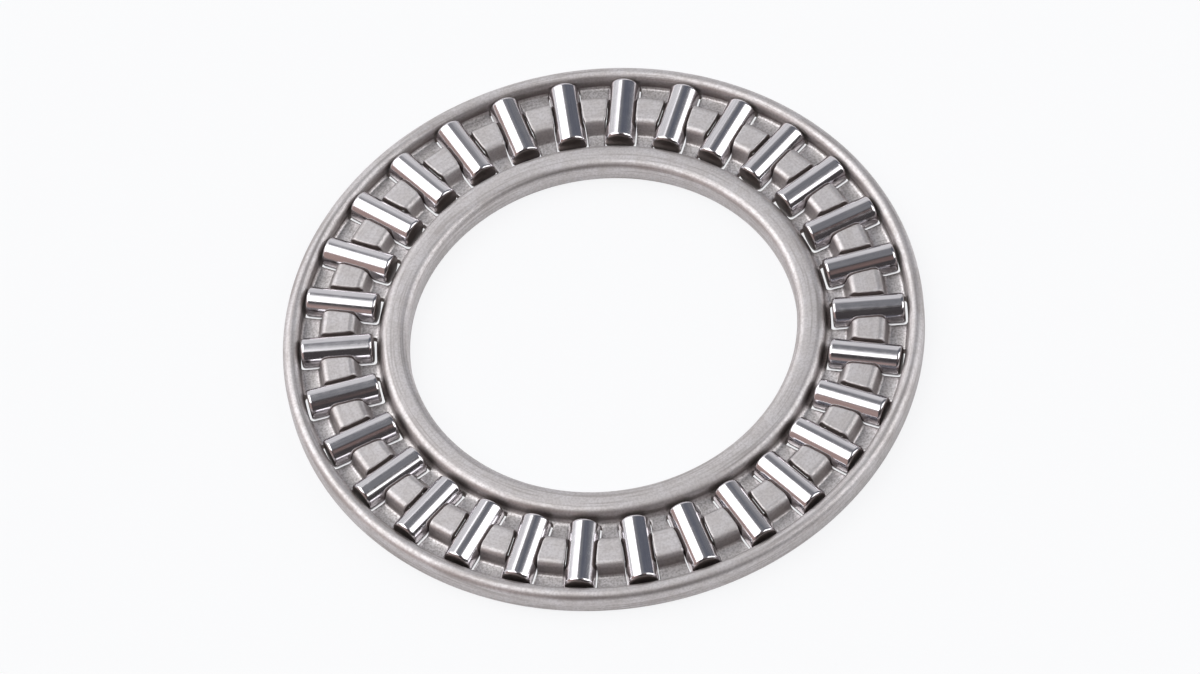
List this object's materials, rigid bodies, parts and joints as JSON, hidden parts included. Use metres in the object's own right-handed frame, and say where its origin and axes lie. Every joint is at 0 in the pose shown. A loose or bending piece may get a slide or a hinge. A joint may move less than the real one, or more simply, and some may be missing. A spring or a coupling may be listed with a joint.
{
  "type": "needle thrust bearing",
  "caption": "Flat axial bearing: steel needle rollers lie like spokes in a ring cage pressed from one sheet with raised rims and a central bump.",
  "frame": {"origin": "centre of the bearing on the rollers' middle plane", "axes": "+Z along the bearing's axis, out of the side where the rims and the bump stand up; +X along the first roller"},
  "size_m": [0.0414, 0.0414, 0.002],
  "materials": {
    "cage_steel": "pressed sheet, satin with fine turning lines",
    "roller_steel": "ground and polished"
  },
  "bodies": {
    "cage": {"cage": "cage_steel"},
    "roller_01": {"roller_01": "roller_steel"},
    "roller_02": {"roller_02": "roller_steel"},
    "roller_03": {"roller_03": "roller_steel"},
    "roller_04": {"roller_04": "roller_steel"},
    "roller_05": {"roller_05": "roller_steel"},
    "roller_06": {"roller_06": "roller_steel"},
    "roller_07": {"roller_07": "roller_steel"},
    "roller_08": {"roller_08": "roller_steel"},
    "roller_09": {"roller_09": "roller_steel"},
    "roller_10": {"roller_10": "roller_steel"},
    "roller_11": {"roller_11": "roller_steel"},
    "roller_12": {"roller_12": "roller_steel"},
    "roller_13": {"roller_13": "roller_steel"},
    "roller_14": {"roller_14": "roller_steel"},
    "roller_15": {"roller_15": "roller_steel"},
    "roller_16": {"roller_16": "roller_steel"},
    "roller_17": {"roller_17": "roller_steel"},
    "roller_18": {"roller_18": "roller_steel"},
    "roller_19": {"roller_19": "roller_steel"},
    "roller_20": {"roller_20": "roller_steel"},
    "roller_21": {"roller_21": "roller_steel"},
    "roller_22": {"roller_22": "roller_steel"},
    "roller_23": {"roller_23": "roller_steel"},
    "roller_24": {"roller_24": "roller_steel"},
    "roller_25": {"roller_25": "roller_steel"},
    "roller_26": {"roller_26": "roller_steel"},
    "roller_27": {"roller_27": "roller_steel"},
    "roller_28": {"roller_28": "roller_steel"},
    "roller_29": {"roller_29": "roller_steel"},
    "roller_30": {"roller_30": "roller_steel"}
  },
  "joints": [
    {"name": "roller_01_spin", "type": "hinge", "parent": "cage", "child": "roller_01", "pos_m": [0.0172, 0, 0], "axis": [1, 0, 0], "continuous": true},
    {"name": "roller_02_spin", "type": "hinge", "parent": "cage", "child": "roller_02", "pos_m": [0.01682, 0.00358, 0], "axis": [0.9781, 0.2079, 0], "continuous": true},
    {"name": "roller_03_spin", "type": "hinge", "parent": "cage", "child": "roller_03", "pos_m": [0.01571, 0.007, 0], "axis": [0.9135, 0.4067, 0], "continuous": true},
    {"name": "roller_04_spin", "type": "hinge", "parent": "cage", "child": "roller_04", "pos_m": [0.01392, 0.01011, 0], "axis": [0.809, 0.5878, 0], "continuous": true},
    {"name": "roller_05_spin", "type": "hinge", "parent": "cage", "child": "roller_05", "pos_m": [0.01151, 0.01278, 0], "axis": [0.6691, 0.7431, 0], "continuous": true},
    {"name": "roller_06_spin", "type": "hinge", "parent": "cage", "child": "roller_06", "pos_m": [0.0086, 0.0149, 0], "axis": [0.5, 0.866, 0], "continuous": true},
    {"name": "roller_07_spin", "type": "hinge", "parent": "cage", "child": "roller_07", "pos_m": [0.00532, 0.01636, 0], "axis": [0.309, 0.9511, 0], "continuous": true},
    {"name": "roller_08_spin", "type": "hinge", "parent": "cage", "child": "roller_08", "pos_m": [0.0018, 0.01711, 0], "axis": [0.1045, 0.9945, 0], "continuous": true},
    {"name": "roller_09_spin", "type": "hinge", "parent": "cage", "child": "roller_09", "pos_m": [-0.0018, 0.01711, 0], "axis": [-0.1045, 0.9945, 0], "continuous": true},
    {"name": "roller_10_spin", "type": "hinge", "parent": "cage", "child": "roller_10", "pos_m": [-0.00532, 0.01636, 0], "axis": [-0.309, 0.9511, 0], "continuous": true},
    {"name": "roller_11_spin", "type": "hinge", "parent": "cage", "child": "roller_11", "pos_m": [-0.0086, 0.0149, 0], "axis": [-0.5, 0.866, 0], "continuous": true},
    {"name": "roller_12_spin", "type": "hinge", "parent": "cage", "child": "roller_12", "pos_m": [-0.01151, 0.01278, 0], "axis": [-0.6691, 0.7431, 0], "continuous": true},
    {"name": "roller_13_spin", "type": "hinge", "parent": "cage", "child": "roller_13", "pos_m": [-0.01392, 0.01011, 0], "axis": [-0.809, 0.5878, 0], "continuous": true},
    {"name": "roller_14_spin", "type": "hinge", "parent": "cage", "child": "roller_14", "pos_m": [-0.01571, 0.007, 0], "axis": [-0.9135, 0.4067, 0], "continuous": true},
    {"name": "roller_15_spin", "type": "hinge", "parent": "cage", "child": "roller_15", "pos_m": [-0.01682, 0.00358, 0], "axis": [-0.9781, 0.2079, 0], "continuous": true},
    {"name": "roller_16_spin", "type": "hinge", "parent": "cage", "child": "roller_16", "pos_m": [-0.0172, 0, 0], "axis": [-1, 0, 0], "continuous": true},
    {"name": "roller_17_spin", "type": "hinge", "parent": "cage", "child": "roller_17", "pos_m": [-0.01682, -0.00358, 0], "axis": [-0.9781, -0.2079, 0], "continuous": true},
    {"name": "roller_18_spin", "type": "hinge", "parent": "cage", "child": "roller_18", "pos_m": [-0.01571, -0.007, 0], "axis": [-0.9135, -0.4067, 0], "continuous": true},
    {"name": "roller_19_spin", "type": "hinge", "parent": "cage", "child": "roller_19", "pos_m": [-0.01392, -0.01011, 0], "axis": [-0.809, -0.5878, 0], "continuous": true},
    {"name": "roller_20_spin", "type": "hinge", "parent": "cage", "child": "roller_20", "pos_m": [-0.01151, -0.01278, 0], "axis": [-0.6691, -0.7431, 0], "continuous": true},
    {"name": "roller_21_spin", "type": "hinge", "parent": "cage", "child": "roller_21", "pos_m": [-0.0086, -0.0149, 0], "axis": [-0.5, -0.866, 0], "continuous": true},
    {"name": "roller_22_spin", "type": "hinge", "parent": "cage", "child": "roller_22", "pos_m": [-0.00532, -0.01636, 0], "axis": [-0.309, -0.9511, 0], "continuous": true},
    {"name": "roller_23_spin", "type": "hinge", "parent": "cage", "child": "roller_23", "pos_m": [-0.0018, -0.01711, 0], "axis": [-0.1045, -0.9945, 0], "continuous": true},
    {"name": "roller_24_spin", "type": "hinge", "parent": "cage", "child": "roller_24", "pos_m": [0.0018, -0.01711, 0], "axis": [0.1045, -0.9945, 0], "continuous": true},
    {"name": "roller_25_spin", "type": "hinge", "parent": "cage", "child": "roller_25", "pos_m": [0.00532, -0.01636, 0], "axis": [0.309, -0.9511, 0], "continuous": true},
    {"name": "roller_26_spin", "type": "hinge", "parent": "cage", "child": "roller_26", "pos_m": [0.0086, -0.0149, 0], "axis": [0.5, -0.866, 0], "continuous": true},
    {"name": "roller_27_spin", "type": "hinge", "parent": "cage", "child": "roller_27", "pos_m": [0.01151, -0.01278, 0], "axis": [0.6691, -0.7431, 0], "continuous": true},
    {"name": "roller_28_spin", "type": "hinge", "parent": "cage", "child": "roller_28", "pos_m": [0.01392, -0.01011, 0], "axis": [0.809, -0.5878, 0], "continuous": true},
    {"name": "roller_29_spin", "type": "hinge", "parent": "cage", "child": "roller_29", "pos_m": [0.01571, -0.007, 0], "axis": [0.9135, -0.4067, 0], "continuous": true},
    {"name": "roller_30_spin", "type": "hinge", "parent": "cage", "child": "roller_30", "pos_m": [0.01682, -0.00358, 0], "axis": [0.9781, -0.2079, 0], "continuous": true}
  ]
}
